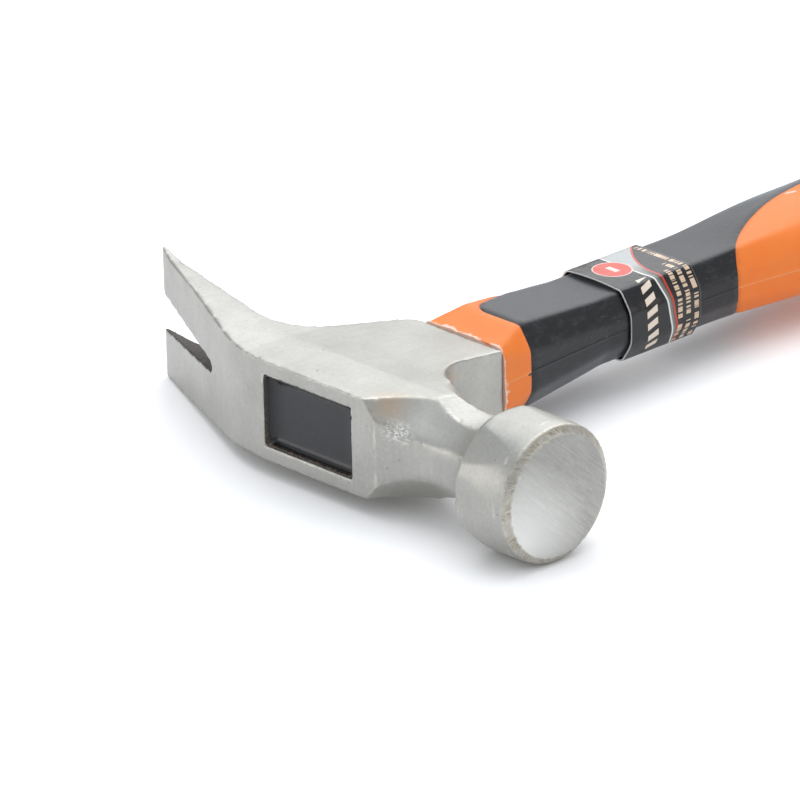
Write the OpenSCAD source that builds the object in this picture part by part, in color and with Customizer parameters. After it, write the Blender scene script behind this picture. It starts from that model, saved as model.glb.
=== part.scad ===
// Rip hammer: a forged head bonded with resin to a glass fibre rod, an orange
// jacket moulded round the rod, a black rubber grip over the jacket,
// and a loose card band round the neck of the handle.
// The hammer lies on its side. +X is the striking face's way, +Y runs down the
// handle and +Z is square to the cheeks. Places along Y start at the poll's axis
// and places along X start at the middle of the eye's mouth.

/* [Overall] */
// Whole length, from the poll's rim to the butt
overall_len = 330; // [310:1:350]

/* [Head block] */
// Height of the block's crown above the poll's axis
crown_y = 10.2; // [9.8:0.1:11]
// Thickness across the cheeks at the eye
cheek_t = 21.2; // [20.4:0.1:23]
// Thickness across the cheeks at the skirt's end
skirt_t = 14.3; // [14:0.1:16]
// Distance from the poll's axis down to which the cheeks stay parallel
cheek_flat_y = 2; // [0:0.1:6]
// Distance from the poll's axis to the skirt's end
skirt_y = 31.3; // [29:0.1:34]
// Face side of the skirt
skirt_front_x = 12.2; // [11.8:0.1:13]
// Claw side of the skirt at its end
skirt_back_x = 13.2; // [12.8:0.1:14.2]
// Lean of the skirt's claw side
skirt_lean = 17; // [10:0.5:22]
// Radius of the skirt's corner on the claw side
skirt_corner_r = 4; // [2:0.1:5]

/* [Eye] */
// Length of the eye's mouth in the crown
eye_len = 25.1; // [24:0.1:26]
// Width of the eye's mouth in the crown
eye_w = 15.1; // [14:0.1:16]
// Length of the eye at the skirt's end
eye_low_len = 18.6; // [17.4:0.1:19.4]
// Width of the eye at the skirt's end
eye_low_w = 10; // [9.6:0.1:10.6]
// Shift of the eye towards the face at the skirt's end
eye_low_x = 1; // [0.6:0.1:1.2]
// Depth of the resin's surface below the crown
fill_depth = 2.3; // [1:0.1:4]

/* [Claws] */
// Distance from the eye's middle to the claw tips
claw_reach = 65.2; // [60:0.1:70]
// Width across the claws at their tips
claw_tip_w = 28.2; // [25:0.1:28.4]
// Drop angle of the straight part of the claws
claw_angle = 25.2; // [20:0.1:30]
// Radius of the bend where the crown turns into the claws
claw_bend_r = 40; // [30:0.5:50]
// Distance from the eye's middle to the start of that bend
claw_bend_x = 11; // [8:0.1:13]
// Thickness of the claws at their tips
claw_tip_t = 0.9; // [0.6:0.1:2]
// Angle of the claws' hollow side
claw_under_angle = 11; // [8:0.1:13]
// Radius in the hollow between claws and skirt
claw_hollow_r = 10; // [7:0.1:12]
// Width of the nail slot at the tips, on the outer side
slot_tip_w = 7.4; // [6:0.1:9]
// Width of the nail slot at its closed end
slot_end_w = 2; // [1.4:0.1:3]
// Distance from the eye's middle to the closed end of the slot
slot_end_x = 36.8; // [33:0.1:42]
// Lean of the slot's walls, which opens it on the hollow side
slot_lean = 9; // [4:0.5:14]

/* [Neck and poll] */
// Distance from the eye's middle to the striking face's edge
face_x = 60; // [56:0.1:66]
// Diameter of the striking face inside its bevel
face_d = 24.9; // [23.5:0.1:26]
// Rise of the crowned striking face
face_crown = 0.35; // [0.2:0.05:0.8]
// Length of the face's bevel along the poll
bevel_len = 1.2; // [0.8:0.1:2]
// Diameter of the poll at the bevel
rim_d = 28; // [27:0.1:28.3]
// Largest diameter of the poll
poll_d = 28.4; // [28.4:0.1:30]
// Length of the poll's drum, from its back edge to the face
poll_len = 15; // [14:0.1:17]
// Across the eight soft flats at the poll's back
poll_flats = 27; // [26:0.1:28]
// Length over which those flats run out along the drum
flats_len = 11.5; // [8:0.5:12.5]
// Radius of the drum's back edge
drum_edge_r = 1.4; // [1:0.1:2]
// Place of the neck's waist along the poll
waist_x = 33.5; // [31:0.1:36]
// Height of the neck's waist above the poll's axis
waist_top = 6.85; // [6:0.05:8]
// Depth of the neck's waist below the poll's axis
waist_low = 9; // [8.2:0.1:9.8]
// Half the thickness of the waist across the cheeks
waist_side = 8.3; // [7.4:0.1:9.2]
// Distance of the waist's upper slanting flats from the poll's axis
waist_bevel = 7.25; // [6.6:0.05:8]
// Distance of the waist's lower slanting flats from the poll's axis
waist_low_bevel = 10; // [9.2:0.1:10.8]
// Radius of the neck's upper flat along the poll
waist_top_r = 32; // [28:0.5:36]
// Radius of the neck's slanting flats along the poll
waist_bevel_r = 22.7; // [20:0.1:26]
// Radius of the neck's lower slanting flats along the poll
waist_low_bevel_r = 22; // [20:0.1:26]
// Radius of the neck's sides along the poll
waist_side_r = 20; // [18:0.1:24]
// Radius of the fillet between neck and skirt
neck_fillet_r = 12; // [9:0.1:14]

/* [Handle] */
// Width of the collar at the head, along the poll
collar_w = 23; // [22.6:0.1:24]
// Thickness of the collar at the head
collar_t = 14.9; // [14.7:0.1:16]
// Shift of the collar's middle towards the face at the head
collar_x = 1; // [0.8:0.1:1.3]
// Distance from the poll's axis to the shoulder, where the collar is thickest
shoulder_y = 40; // [38:0.5:44]
// Width of the handle at the shoulder
shoulder_w = 22.4; // [21.6:0.1:24]
// Thickness of the handle at the shoulder
shoulder_t = 18.6; // [17:0.1:20]
// Start of the straight neck of the handle
neck_y = 63; // [60:0.5:63.5]
// End of the straight neck of the handle
neck_end_y = 93.5; // [93:0.5:96]
// Width of the straight neck
neck_w = 20.4; // [20:0.1:21.5]
// Thickness of the straight neck
neck_t = 14.2; // [14:0.1:15.4]
// Shift of the handle's middle away from the face
handle_x = 0.5; // [0.3:0.1:0.7]
// Distance from the poll's axis to where the handle has turned round
round_y = 126.5; // [120:0.5:140]
// Width of the handle there
round_w = 26.8; // [25:0.2:28]
// Thickness of the handle there
round_t = 18.4; // [17:0.2:20]
// Distance from the poll's axis to the middle of the palm swell
palm_y = 205; // [190:1:215]
// Width of the palm swell
palm_w = 31; // [28:0.5:34]
// Thickness of the palm swell
palm_t = 22.6; // [20:0.2:25]
// Distance from the butt to the waist behind the palm
grip_waist_back = 52; // [46:1:60]
// Width of the waist behind the palm
grip_waist_w = 27.4; // [25:0.2:30]
// Thickness of the waist behind the palm
grip_waist_t = 20.4; // [19:0.2:23]
// Width of the butt
butt_w = 32.4; // [29:0.2:35]
// Thickness of the butt
butt_t = 23.6; // [21:0.2:26]
// Rounding of the butt's end
butt_r = 5; // [3:0.5:8]
// Thickness of the rubber over the jacket
skin_t = 1.4; // [1.1:0.1:1.6]
// Length of solid rubber behind the jacket's end
butt_cap = 26; // [24:0.5:34]
// Diameter of the hang hole
hang_d = 8; // [5:0.5:10]
// Distance from the butt to the hang hole's middle
hang_back = 13; // [12:0.5:15]

/* [Corner flats] */
// Width of the handle's corner flats at the head
collar_flat = 1.2; // [1:0.1:1.4]
// Width of the corner flats at the shoulder
shoulder_flat = 3.3; // [3:0.1:3.6]
// Width of the corner flats on the straight neck
neck_flat = 2.9; // [2.6:0.1:3.1]
// Width of the corner flats where the handle turns round
round_flat = 3.8; // [3.4:0.1:4.2]

/* [Core rod] */
// Width of the glass fibre rod
core_w = 14.8; // [13:0.1:15.2]
// Thickness of the glass fibre rod
core_t = 8.8; // [8:0.1:9.2]
// Depth of the rod's end below the resin's surface
core_cover = 4; // [2:0.1:8]
// Length by which the rod ends before the jacket
core_back = 6; // [3:0.5:20]

/* [Colour fields] */
// Distance from the poll's axis to the start of the black tongue
tongue_y = 39.6; // [39:0.1:41]
// Edge of the orange spine on the cheeks, measured away from the face
spine_x = 7.6; // [7.2:0.1:8.4]
// Radius of the black tongue's corner beside the spine
tongue_r = 5.6; // [4:0.1:7]
// End of the orange spine under the card band
spine_end_y = 90; // [84:1:92]
// Start of the orange belly
belly_y = 98.6; // [97:0.2:104]
// End of the orange belly
belly_end_y = 198; // [185:1:215]
// Length of the belly's sweep at its head end
belly_sweep = 60; // [45:1:65]
// Length of the belly's sweep at its butt end
belly_end_sweep = 34; // [24:1:38]
// How far the sweep carries the belly across the cheek
belly_cross = 20; // [17:0.5:21]

/* [Card band] */
// Front edge of the card band
band_y = 68.5; // [68:0.5:69.5]
// Length of the card band
band_len = 19.5; // [16:0.5:20]
// Thickness of the card
card_t = 0.35; // [0.3:0.05:0.5]
// Gap between the card and the handle
band_gap = 0.25; // [0.2:0.05:0.4]
// Width of the glued overlap on the hidden side
band_lap = 9; // [6:0.5:12]

/* [Hidden] */
$fn = 96;

// A length that only has to reach past what it cuts
far = 60;
// A short reach past the surface that is cut
past = 1;
// Directions in the side outline: to the butt, to the claws and to the crown
to_butt = 90;
to_claws = 180;
to_crown = 270;

// Shift from the eye's middle and the poll's axis to the frame's origin,
// the middle of the underside of the whole hammer's box
poll_r = poll_d / 2;
butt_y = overall_len - poll_r;
move_x = (claw_reach - face_x - face_crown) / 2;
move_y = (poll_r - butt_y) / 2;
module placed() {
    translate([move_x, move_y, poll_r]) children();
}

steel = [0.78, 0.79, 0.80];
resin = [0.20, 0.20, 0.22];
glass_rod = [0.86, 0.78, 0.52];
orange = [0.95, 0.45, 0.16];
black = [0.17, 0.17, 0.18];
card = [0.10, 0.10, 0.10];

// Extrudes an outline drawn in X and Y evenly to both sides of the mid plane
module through_z() {
    translate([0, 0, -far]) linear_extrude(height = 2 * far) children();
}
// Extrudes an outline drawn in Y and Z along the whole head
module along_x() {
    translate([-2 * far, 0, 0]) rotate([90, 0, 90]) linear_extrude(height = 4 * far) children();
}
// Extrudes an outline drawn in X and Z along Y, from y0 to y1
module along_y(y0, y1) {
    translate([0, y1, 0]) rotate([90, 0, 0]) linear_extrude(height = y1 - y0) children();
}
// Points of an arc from angle a0 to a1
function arc(x, y, r, a0, a1, n = 10) =
    [for (i = [0:n]) let (a = a0 + (a1 - a0) * i / n) [x + r * cos(a), y + r * sin(a)]];

// Middle of a ring of points
function middle(ring) = [for (p = ring) 1] * ring / len(ring);
// Closed skin over rings that all have the same number of points, with a fan at each end
module loft(rings) {
    n = len(rings[0]);
    last = (len(rings) - 1) * n;
    sides = [for (i = [0:len(rings) - 2], k = [0:n - 1])
        let (a = i * n + k, b = i * n + (k + 1) % n)
        each [[a, b + n, a + n], [a, b, b + n]]];
    fans = [for (k = [0:n - 1])
        each [[(k + 1) % n, k, last + n], [last + k, last + (k + 1) % n, last + n + 1]]];
    ends = [middle(rings[0]), middle(rings[len(rings) - 1])];
    polyhedron(points = concat([for (r = rings) each r], ends), faces = concat(sides, fans));
}

// Head: the side outline, from the claw tips round to the neck's end
bend_y = claw_bend_r - crown_y;
bend_end_x = -claw_bend_x - claw_bend_r * sin(claw_angle);
bend_end_y = bend_y - claw_bend_r * cos(claw_angle);
tip_y = bend_end_y + (claw_reach + bend_end_x) * tan(claw_angle);
tip_low_y = tip_y + claw_tip_t / cos(claw_angle);
// The hollow's arc touches the claws' hollow side and the skirt's leaning side
lean_x = -skirt_back_x - skirt_y * tan(skirt_lean);
hollow_drop = tip_low_y - claw_reach * tan(claw_under_angle);
side_foot_x = lean_x - claw_hollow_r / cos(skirt_lean);
under_foot_y = hollow_drop + claw_hollow_r / cos(claw_under_angle);
hollow_y = (under_foot_y - side_foot_x * tan(claw_under_angle))
    / (1 + tan(skirt_lean) * tan(claw_under_angle));
hollow_x = side_foot_x + hollow_y * tan(skirt_lean);
// The skirt's corner touches its leaning side and its end
corner_y = skirt_y - skirt_corner_r;
corner_x = lean_x + corner_y * tan(skirt_lean) + skirt_corner_r / cos(skirt_lean);
// The neck's block ends inside the poll's drum
neck_sink = 1.2;
poll_back_x = face_x - poll_len;
neck_end_x = poll_back_x + neck_sink;
fillet_x = skirt_front_x + neck_fillet_r;

module head_outline() {
    polygon(concat(
        [[-claw_reach, tip_y], [-claw_reach, tip_low_y]],
        arc(hollow_x, hollow_y, claw_hollow_r, -90 - claw_under_angle, -skirt_lean),
        arc(corner_x, corner_y, skirt_corner_r, to_claws - skirt_lean, to_butt, 6),
        [[skirt_front_x, skirt_y]],
        arc(fillet_x, waist_low + neck_fillet_r, neck_fillet_r, to_claws, to_crown),
        [[neck_end_x, waist_low], [neck_end_x, -crown_y]],
        arc(-claw_bend_x, bend_y, claw_bend_r, -90, -90 - claw_angle, 12)
    ));
}

// Head: the cheeks, parallel at the eye, drawn in to the skirt and spread to the claws
spread_back = 7;
spread_x = claw_bend_x + spread_back;
spread = (claw_tip_w - cheek_t) / 2;
cheek_slope = (cheek_t - skirt_t) / 2 / (skirt_y - cheek_flat_y);
function cheek_ring(x, extra, slope) =
    let (top = cheek_t / 2 + extra, low = top - (far - cheek_flat_y) * slope)
    [[x, -far, top], [x, cheek_flat_y, top], [x, far, low],
     [x, far, -low], [x, cheek_flat_y, -top], [x, -far, -top]];
module cheeks() {
    loft([
        cheek_ring(-claw_reach - past, spread + spread * past / (claw_reach - spread_x), 0),
        cheek_ring(-spread_x, 0, cheek_slope),
        cheek_ring(neck_end_x, 0, cheek_slope)
    ]);
}

// Angles of the neck's slanting flats
bevel_angle = 51;
low_bevel_angle = 129;
// How far the slanting flats' waist lies before the upper one, and the sides' behind it
bevel_early = 0.5;
side_late = 2.5;
bevel_waist_x = waist_x - bevel_early;
side_waist_x = waist_x + side_late;
// Cuts one side of the neck down to its waist
module waist_cut(angle, dist, radius, x) {
    rotate([angle, 0, 0])
        translate([x, -dist - radius, -far]) cylinder(h = 2 * far, r = radius, $fn = 144);
}
module waist_cuts() {
    waist_cut(0, waist_top, waist_top_r, waist_x);
    for (s = [-1, 1]) {
        waist_cut(s * bevel_angle, waist_bevel, waist_bevel_r, bevel_waist_x);
        waist_cut(s * 90, waist_side, waist_side_r, side_waist_x);
        waist_cut(s * low_bevel_angle, waist_low_bevel, waist_low_bevel_r, bevel_waist_x);
    }
}

// Poll: a hollow rises from the neck to the drum's back edge; the drum has eight
// soft flats and a bevelled, crowned face
// Steepest slope of the hollow, and how deep its start lies inside the neck
hollow_slope = 80;
hollow_sink = 0.3;
edge_r0 = poll_r - drum_edge_r;
edge_x0 = poll_back_x + drum_edge_r;
hollow_start_r = waist_top - hollow_sink;
drum_hollow_r = (edge_r0 + drum_edge_r * cos(hollow_slope) - hollow_start_r) / (1 - cos(hollow_slope));
hollow_x0 = edge_x0 - (drum_hollow_r + drum_edge_r) * sin(hollow_slope);
module poll() {
    hollow_r0 = hollow_start_r + drum_hollow_r;
    crown_r = (pow(face_d / 2, 2) + pow(face_crown, 2)) / (2 * face_crown);
    crown_a = asin(face_d / 2 / crown_r);
    intersection() {
        rotate([0, 90, 0]) rotate_extrude($fn = 144) polygon(concat(
            [[0, hollow_x0]],
            arc(hollow_r0, hollow_x0, drum_hollow_r, to_claws, to_claws - hollow_slope, 9),
            arc(edge_r0, edge_x0, drum_edge_r, -hollow_slope, 0, 4),
            [[poll_r, poll_back_x + flats_len], [rim_d / 2, face_x - bevel_len], [face_d / 2, face_x]],
            [for (i = [5:-1:0]) [crown_r * sin(crown_a * i / 6),
                face_x + face_crown - crown_r * (1 - cos(crown_a * i / 6))]]
        ));
        leaning_flats();
    }
}
// Eight flats that lean outwards and run out where the drum is largest
module leaning_flats() {
    back = poll_flats / 2;
    slope = (poll_r - back) / flats_len;
    start = back - poll_len * slope;
    end = back + 2 * poll_len * slope;
    intersection_for (a = [0, 45, 90, 135]) {
        rotate([a, 0, 0]) through_z() polygon([
            [poll_back_x - poll_len, -start], [poll_back_x + 2 * poll_len, -end],
            [poll_back_x + 2 * poll_len, end], [poll_back_x - poll_len, start]
        ]);
    }
}

// Nail slot: two leaning walls that meet in a rounded end. They are drawn on the
// claws' outer side and open towards the hollow side
module nail_slot() {
    edge_y = bend_end_y + (slot_end_x + bend_end_x) * tan(claw_angle);
    slot_len = (claw_reach - slot_end_x) / cos(claw_angle);
    open = atan((slot_tip_w - slot_end_w) / 2 / slot_len);
    translate([-slot_end_x, edge_y, 0]) rotate([0, 0, -claw_angle]) {
        intersection() {
            translate([-far, -far / 2, -far / 2]) cube(far);
            slot_wall(1, open);
            slot_wall(-1, open);
        }
        rotate([90, 0, 0]) cylinder(h = far, r = slot_end_w / 2, center = true);
    }
}
// Everything on the slot's side of one wall
module slot_wall(side, open) {
    translate([0, 0, side * slot_end_w / 2]) rotate([side * slot_lean, side * open, 0])
        translate([-2 * far, -far, side > 0 ? -far : 0]) cube([4 * far, 2 * far, far]);
}

// Tapered eye through the block, from depth y0 to depth y1
module eye(y0, y1) {
    out = (eye_len - eye_low_len) / 2 / (crown_y + skirt_y);
    shift = eye_low_x / (crown_y + skirt_y);
    thin = (eye_w - eye_low_w) / 2 / (crown_y + skirt_y);
    a0 = y0 + crown_y;
    a1 = y1 + crown_y;
    intersection() {
        through_z() polygon([
            [-eye_len / 2 + a0 * (shift + out), y0], [eye_len / 2 + a0 * (shift - out), y0],
            [eye_len / 2 + a1 * (shift - out), y1], [-eye_len / 2 + a1 * (shift + out), y1]
        ]);
        along_x() polygon([
            [y0, -eye_w / 2 + a0 * thin], [y1, -eye_w / 2 + a1 * thin],
            [y1, eye_w / 2 - a1 * thin], [y0, eye_w / 2 - a0 * thin]
        ]);
    }
}

module head() {
    color(steel) placed() difference() {
        union() {
            difference() {
                intersection() {
                    through_z() head_outline();
                    cheeks();
                }
                waist_cuts();
            }
            poll();
        }
        eye(-crown_y - past, skirt_y + past);
        nail_slot();
    }
}

fill_y = fill_depth - crown_y;
module eye_resin() {
    color(resin) placed() difference() {
        eye(fill_y, skirt_y);
        core();
    }
}

// Core rod, with flat cheeks and full round edges
core_y = fill_y + core_cover;
core_x = -handle_x / 2;
jacket_end_y = butt_y - butt_cap;
module core() {
    r = core_t / 2;
    translate([core_x, 0, 0]) along_y(core_y, jacket_end_y - core_back) {
        square([core_w - core_t, core_t], center = true);
        for (s = [-1, 1]) translate([s * (core_w - core_t) / 2, 0]) circle(r);
    }
}
module core_rod() {
    color(glass_rod) placed() core();
}

// Handle: stations along its length, each with its place, width, thickness, middle,
// width of its corner flats along X, and how round it is, from 0, eight sided, to 1.
// All corner flats lean alike, so they stay flat from station to station
flat_lean = 1.48;
flat_z = neck_flat * flat_lean;
shoulder_x = 0.4;
// How much narrower the butt's end is than its widest place
butt_draw = 1;
stations = [
    [skirt_y, collar_w, collar_t, collar_x, collar_flat, 0],
    [shoulder_y, shoulder_w, shoulder_t, shoulder_x, shoulder_flat, 0],
    [neck_y, neck_w, neck_t, -handle_x, neck_flat, 0],
    [neck_end_y, neck_w, neck_t, -handle_x, neck_flat, 0],
    [round_y, round_w, round_t, -handle_x, round_flat, 0.9],
    [palm_y, palm_w, palm_t, -handle_x, round_flat, 1],
    [butt_y - grip_waist_back, grip_waist_w, grip_waist_t, -handle_x, round_flat, 1],
    [butt_y - hang_back, butt_w, butt_t, handle_x, round_flat, 1],
    [butt_y, butt_w - butt_draw, butt_t - butt_draw, handle_x, round_flat, 1]
];
straight_runs = 3;
function mix(a, b, t) = a + (b - a) * t;
function ease(t) = (1 - cos(180 * t)) / 2;
function run_of(y) = max([for (i = [0:len(stations) - 2]) y >= stations[i][0] ? i : 0]);
function section(y) =
    let (i = run_of(y), a = stations[i], b = stations[i + 1], t = (y - a[0]) / (b[0] - a[0]))
    mix(a, b, i < straight_runs ? t : ease(t));

// One ring of the handle at y, drawn in by inset
oct_sides = [3, 3, 5, 3, 3, 3, 5, 3];
function oct_corners(w, t, fx, fz) = [
    [w, -(t - fz)], [w, t - fz], [w - fx, t], [fx - w, t],
    [-w, t - fz], [-w, -(t - fz)], [fx - w, -t], [w - fx, -t]
];
// How full the round section is: 1 is an ellipse, smaller is fuller
fullness = 0.83;
function round_point(p, w, t) =
    let (a = atan2(p[1] / t, p[0] / w), c = cos(a), s = sin(a))
    [w * sign(c) * pow(abs(c), fullness), t * sign(s) * pow(abs(s), fullness)];
function ring(y, inset) =
    let (
        s = section(y), w = s[1] / 2 - inset, t = s[2] / 2 - inset,
        corners = oct_corners(w, t, s[4], s[4] * flat_lean)
    )
    [for (e = [0:7], j = [0:oct_sides[e] - 1])
        let (
            flat = mix(corners[e], corners[(e + 1) % 8], j / oct_sides[e]),
            p = mix(flat, round_point(flat, w, t), s[5])
        )
        [p[0] + s[3], y, p[1]]];

// Places of the rings: at the stations of straight runs, closer on the curved ones
function ring_places(y0, y1) = concat(
    [y0],
    [for (i = [0:len(stations) - 2], j = [0:(i < straight_runs ? 0 : 5)])
        let (y = mix(stations[i][0], stations[i + 1][0], i < straight_runs ? 0 : j / 6))
        if (y > y0 && y < y1) y],
    [y1]
);
module handle_body() {
    round_start = butt_y - butt_r;
    loft(concat(
        [for (y = ring_places(skirt_y, round_start)) ring(y, 0)],
        [for (a = [22.5:22.5:90]) ring(round_start + butt_r * sin(a), butt_r * (1 - cos(a)))]
    ));
}
// The collar's flange stays solid up to here
inner_y = skirt_y + past;
module handle_inner() {
    loft([for (y = ring_places(inner_y, jacket_end_y)) ring(y, skin_t)]);
}

// Orange collar and spine, seen square to the cheeks
// How far the spine's edge drifts outwards down to the straight neck
spine_drift = 0.8;
spine_end_len = 16;
module collar_field() {
    through_z() polygon(concat(
        [[-far, 0], [far, 0], [far, tongue_y]],
        arc(tongue_r - spine_x, tongue_y + tongue_r, tongue_r, -90, -180, 6),
        [[-spine_x - spine_drift, neck_y + spine_drift],
         [-spine_x - spine_drift, spine_end_y - spine_end_len],
         [-neck_w, spine_end_y], [-far, spine_end_y]]
    ));
}
// Orange belly: its edge starts at the front and sweeps back across the cheek
belly_front_x = 12;
// How quickly the edge sweeps across at first, and how close its points lie there
sweep_bend = 0.6;
sweep_steps = 1.6;
function sweep_x(u) = belly_front_x - belly_cross * sin(90 * pow(u, sweep_bend));
module belly_field() {
    steps = 14;
    through_z() polygon(concat(
        [[far, belly_y]],
        [for (i = [0:steps]) let (u = pow(i / steps, sweep_steps)) [sweep_x(u), belly_y + u * belly_sweep]],
        [for (i = [steps:-1:0]) let (u = pow(i / steps, sweep_steps))
            [sweep_x(u), belly_end_y - u * belly_end_sweep]],
        [[far, belly_end_y]]
    ));
}

module jacket() {
    color(orange) placed() difference() {
        union() {
            handle_inner();
            intersection() {
                handle_body();
                union() {
                    collar_field();
                    belly_field();
                }
            }
        }
        core();
    }
}

module grip() {
    color(black) placed() difference() {
        handle_body();
        handle_inner();
        collar_field();
        belly_field();
        translate([handle_x, butt_y - hang_back, -far]) cylinder(h = 2 * far, d = hang_d);
    }
}

// Card band: the handle neck's section, moved out by the same distance all round
function band_outline(out) =
    let (
        w = neck_w / 2, t = neck_t / 2, side = norm([neck_flat, flat_z]),
        dist = (w * flat_z + (t - flat_z) * neck_flat) / side + out,
        k = ((w + out) * flat_z + (t + out) * neck_flat - dist * side) / (neck_flat * flat_z)
    )
    oct_corners(w + out, t + out, k * neck_flat, k * flat_z);
module card_band() {
    outer = band_gap + card_t;
    color(card) placed() translate([-handle_x, 0, 0]) {
        along_y(band_y, band_y + band_len) difference() {
            polygon(band_outline(outer));
            polygon(band_outline(band_gap));
        }
        translate([-band_lap / 2, band_y, -neck_t / 2 - outer - card_t]) cube([band_lap, band_len, card_t]);
    }
}

head();
eye_resin();
core_rod();
jacket();
grip();
card_band();
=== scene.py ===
import math

import bmesh
import bpy
from mathutils import Matrix, Vector, kdtree, noise


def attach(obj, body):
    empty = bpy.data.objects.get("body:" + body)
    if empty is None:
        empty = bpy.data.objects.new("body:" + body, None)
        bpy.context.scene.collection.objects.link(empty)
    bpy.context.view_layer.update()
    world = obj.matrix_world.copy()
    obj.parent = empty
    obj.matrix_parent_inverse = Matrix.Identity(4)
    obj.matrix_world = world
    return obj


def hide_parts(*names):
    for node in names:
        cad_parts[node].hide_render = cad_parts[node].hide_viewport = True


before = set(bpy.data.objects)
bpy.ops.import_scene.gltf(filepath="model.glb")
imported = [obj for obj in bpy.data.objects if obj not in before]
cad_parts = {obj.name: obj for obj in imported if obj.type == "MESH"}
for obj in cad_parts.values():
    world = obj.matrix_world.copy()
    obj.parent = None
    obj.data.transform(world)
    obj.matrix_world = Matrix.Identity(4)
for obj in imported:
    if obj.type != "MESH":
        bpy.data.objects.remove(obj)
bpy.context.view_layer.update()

# Places in this script are in millimetres from the middle of the eye's mouth and the
# poll's axis: x towards the striking face, y down the handle, z up.
# PLACE carries them into the frame, in metres.
MM = 0.001
PLACE = Vector((2.425, -150.8, 14.2))

# Grinding of the head
VOXEL = 0.42
GROUND_PASSES = 4
NECK_PASSES = 28
NECK_START, NECK_END = 20.6, 40.5
CREASE_LOW, CREASE_HIGH = 10, 60
ARRIS_BEND = math.radians(24)
ARRIS_STEP = 0.5
ARRIS_REACH = 0.62
SWELL, SWELL_SINK = 0.05, 0.03
CHIP_START, CHIP_DEPTH = 0.28, 0.55
CHIP_SHIFT = Vector((7, 3, 1))

# Places of the head's marks
SLOT_X, SLOT_HALF, SLOT_END_HALF = -35.5, 5.2, 1.3
RIM_X, RIM_RADIUS, RIM_SOFT = 58.3, 12.25, 0.4
FACE_X, FACE_RADIUS = 59.6, 12.6
BEVEL_RADIUS = 13.3
# brown heat tints: place, reach and strength
TINTS = (
    (Vector((20.0, -6.5, 9.0)), 3.0, 0.9),
    (Vector((12.9, 16.6, 6.0)), 1.7, 0.8),
)
# the rubbed place on the neck, drawn out along the head
RUB, RUB_REACH, RUB_SPREAD = (23.5, -8.0, 5.0), 4.0, (0.55, 1, 1)
# a painted highlight over one side of the striking face: its middle and reach
PAINTED_FACE_HIGHLIGHT, PAINTED_FACE_HIGHLIGHT_REACH = (60.0, -12.0, -9.0), 26.0
WHEEL_TURN = 0.75

# Resin in the eye
EYE_HALF = Vector((12.55, 7.55))
EYE_ROUND = 1.15
CROWN_Y = -10.2
# the eye narrows and leans with depth, so much for each millimetre
EYE_TAPER = Vector((0.078, 0.061))
EYE_LEAN = 0.024
# inset from the eye's wall, depth under the crown and raggedness, from the bottom of the
# skin that climbs the wall, over its top edge, down to the sunk surface and its middle
RESIN_PROFILE = (
    (0.12, 7.0, 0.3), (0.02, 0.25, 0.3), (0.2, 0.12, 0.6), (0.38, 0.3, 1.0), (0.5, 0.9, 1.0),
    (0.72, 1.6, 0.0), (1.2, 2.05, 0.0), (2.2, 2.22, 0.0), (4.0, 2.27, 0.0), (6.2, 2.3, 0.0),
)
RAGGED = 0.45

# Handle
# place, width, thickness, middle, corner flat, roundness
STATIONS = (
    (31.3, 23.0, 14.9, 1.0, 1.2, 0.0),
    (40.0, 22.4, 18.6, 0.4, 3.3, 0.0),
    (63.0, 20.4, 14.2, -0.5, 2.9, 0.0),
    (93.5, 20.4, 14.2, -0.5, 2.9, 0.0),
    (126.5, 26.8, 18.4, -0.5, 3.8, 0.9),
    (205.0, 31.0, 22.6, -0.5, 3.8, 1.0),
    (263.8, 27.4, 20.4, -0.5, 3.8, 1.0),
    (302.8, 32.4, 23.6, 0.5, 3.8, 1.0),
    (315.8, 31.4, 22.6, 0.5, 3.8, 1.0),
)
SKIRT_Y = STATIONS[0][0]
BUTT_Y = STATIONS[-1][0]
BUTT_ROUND = 5.0
# sizes run straight between stations up to this one, and ease in and out after it
LAST_STRAIGHT = 2
FLAT_LEAN = 1.48
FULLNESS = 0.83
HANDLE_CREASE = 44.0
RING_SIDES = 112
RING_STEP = 1.3
SEAM_TURN = 0.022
SEAM_HALF = 0.12
SEAM_HEIGHT = 0.12
LIP = 1.3
GROOVE_HALF, GROOVE_DEPTH = 0.45, 0.22
HANG_PLACE, HANG_RADIUS = Vector((0.5, 302.8, 0)), 4.0

# Colour borders on the handle, seen square to the cheeks
OUTSIDE = 40
COLLAR_END, COLLAR_ROUND, COLLAR_X = 39.6, 5.0, -1.2
COLLAR_EDGE = ((-6.9, 47.0), (-7.6, 50.0), (-8.2, 54.0), (-8.4, 60.0), (-8.4, 74.0), (-20.4, 90.0))
BELLY_X, BELLY_DEPTH = 12, 20
BELLY_START, BELLY_RISE = 98.6, 60
BELLY_END, BELLY_FALL = 198, 34
# a small tear at the colour border, on the parting line
TEAR = (11.6, 39.4, -0.3)
TEAR_SHAPE = (1.0, 0.55, 2.0)

# Card sleeve
BAND_FRONT, BAND_LENGTH = 68.5, 19.5
CARD_GAP, CARD_THICK, CARD_SLACK = 0.3, 0.27, 0.1
CARD_CREASE = 34.0
CARD_TURNS, CARD_ROWS = 160, 20
CARD_LAP, LAP_SHORT = 9.0, 0.4
NECK_MIDDLE, NECK_HALF_THICK = -0.5, 7.1
# the sleeve stands off in front on the upper side
LIFT, LIFT_X, LIFT_HALF, LIFT_LENGTH, LIFT_FROM_Z = 0.35, -1.5, 7.5, 9, 5
# one unit of the print's map is so many millimetres
PRINT_UNIT = 100

# Set, in metres
COOL, WARM = (0.99, 0.99, 1.0), (1.0, 0.98, 0.96)
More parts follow.
